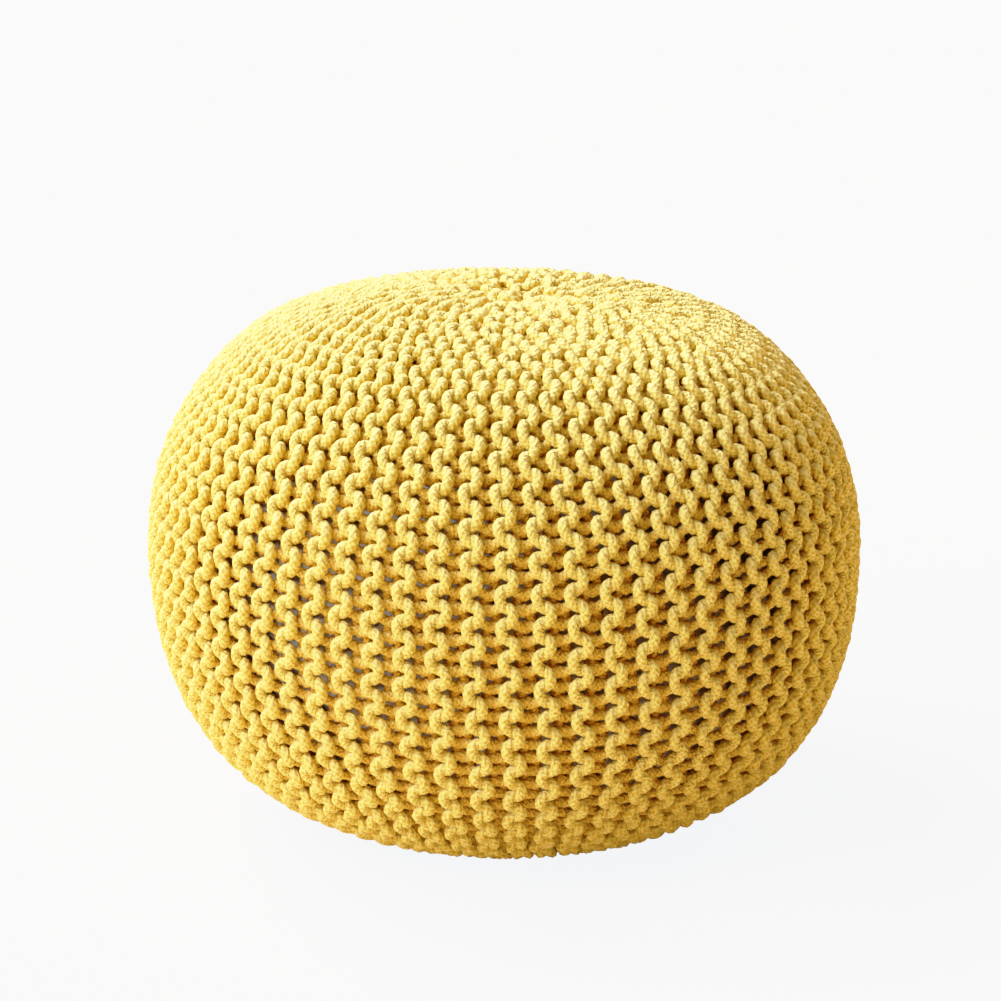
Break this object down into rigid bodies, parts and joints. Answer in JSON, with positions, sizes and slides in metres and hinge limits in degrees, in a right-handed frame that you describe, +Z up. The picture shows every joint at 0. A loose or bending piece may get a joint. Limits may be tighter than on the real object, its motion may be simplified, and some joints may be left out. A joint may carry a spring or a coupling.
{
  "type": "knitted floor pouf",
  "caption": "Round floor pouf with a chunky garter-stitch cover of cotton cord, drawn closed at crown and base over a filled inner bag; a low soft seat or footrest.",
  "frame": {"origin": "on the floor under the middle of the pouf", "axes": "+Z up through the drawn crown, -Y towards the upright seam that faces the viewer"},
  "size_m": [0.5, 0.4998, 0.3729],
  "materials": {
    "cotton_cord": "matte dyed cotton cord, slightly fuzzy",
    "bag_cloth": "plain woven grey cloth, matte"
  },
  "bodies": {
    "root": {"knit_cover": "cotton_cord", "inner_bag": "bag_cloth"}
  },
  "joints": []
}
